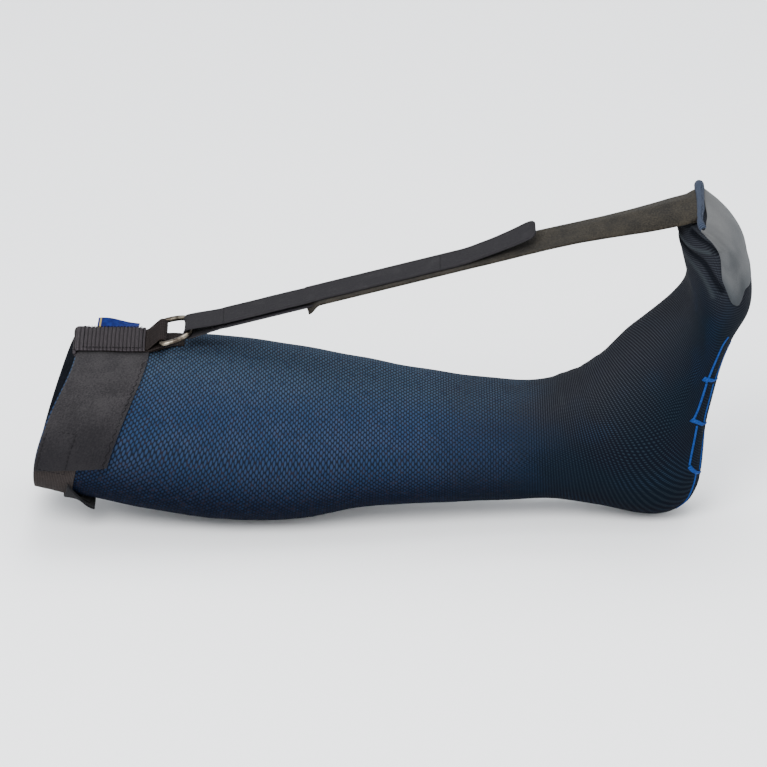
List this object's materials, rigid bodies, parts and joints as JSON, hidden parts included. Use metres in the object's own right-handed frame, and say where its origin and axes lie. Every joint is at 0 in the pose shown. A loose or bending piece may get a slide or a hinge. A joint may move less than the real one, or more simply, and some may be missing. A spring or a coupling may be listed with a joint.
{
  "type": "stretching sock",
  "caption": "Knee-high knitted stretching sock with a strap from the toes to a D-ring below the knee, closed with hook and loop.",
  "frame": {"origin": "under the middle of the sock's length, on the level of its lowest point", "axes": "+X from the knee to the sole, +Z out of the shin towards the toes, Y across the leg"},
  "size_m": [0.5034, 0.1222, 0.2361],
  "materials": {
    "calf_knit": "matt knit",
    "foot_knit": "matt fine knit",
    "cuff_fabric": "brushed loop pile",
    "elastic": "woven elastic",
    "hook_pad": "plastic hooks",
    "rib_tape": "ribbed tape",
    "webbing": "woven webbing",
    "label": "satin ribbon",
    "ring_metal": "dark antique plating",
    "hook_tape": "hook tape, smooth back",
    "loop_tape": "velvety loop pile",
    "toe_patch": "smooth stretch fabric",
    "binding": "folded stretch binding",
    "thread": "sewing thread"
  },
  "bodies": {
    "leg": {"leg_knit": "calf_knit", "ankle_knit": "foot_knit", "cuff_panel": "cuff_fabric", "cuff_elastic": "elastic", "cuff_stitching_near": "thread", "cuff_stitching_far": "thread", "elastic_stitching": "thread", "rib_tape": "rib_tape", "ring_webbing": "webbing", "side_label": "label"},
    "cuff_flap": {"cuff_tab": "cuff_fabric", "cuff_tab_hook": "hook_pad"},
    "ring": {"d_ring": "ring_metal", "hook_tape_turn": "hook_tape", "hook_tape_lower_root": "hook_tape", "hook_tape_upper_root": "hook_tape"},
    "strap": {"hook_tape_lower": "hook_tape", "loop_tape": "loop_tape", "joint_stitching": "thread"},
    "tail": {"hook_tape_upper": "hook_tape"},
    "tail_tip": {"hook_tape_tip": "hook_tape"},
    "foot": {"foot_knit": "foot_knit", "toe_patch": "toe_patch", "toe_binding": "binding", "toe_stitching": "thread", "strap_sewn_end": "loop_tape"}
  },
  "joints": [
    {"name": "ankle_flex", "type": "hinge", "parent": "leg", "child": "foot", "pos_m": [0.14482, 0, 0.0532], "axis": [0, -1, 0], "range_deg": [-15, 15], "deforming": ["ankle_knit"]},
    {"name": "ring_swing", "type": "hinge", "parent": "leg", "child": "ring", "pos_m": [-0.16098, 0, 0.1357], "axis": [0, -1, 0], "range_deg": [-4.5, 4.5]},
    {"name": "strap_slide", "type": "slide", "parent": "ring", "child": "strap", "axis": [0.9662, 0, 0.258], "range_m": [-0.0412, 0.0412], "deforming": ["hook_tape_lower_root"]},
    {"name": "tail_slide", "type": "slide", "parent": "ring", "child": "tail", "axis": [0.9662, 0, 0.258], "range_m": [-0.0412, 0.0412], "deforming": ["hook_tape_upper_root"]},
    {"name": "tail_peel", "type": "hinge", "parent": "tail", "child": "tail_tip", "pos_m": [0.04339, 0, 0.19208], "axis": [0, -1, 0], "range_deg": [0, 60]},
    {"name": "flap_open", "type": "hinge", "parent": "leg", "child": "cuff_flap", "pos_m": [-0.21815, 0.01305, 0.01771], "axis": [0.9697, 0.0148, -0.2439], "range_deg": [0, 100]}
  ],
  "couplings": [
    {"joint": "ring_swing", "follows": "ankle_flex", "ratio": 0.2873},
    {"joint": "strap_slide", "follows": "ankle_flex", "m_per_rad": -0.1564},
    {"joint": "tail_slide", "follows": "ankle_flex", "m_per_rad": 0.1564}
  ]
}
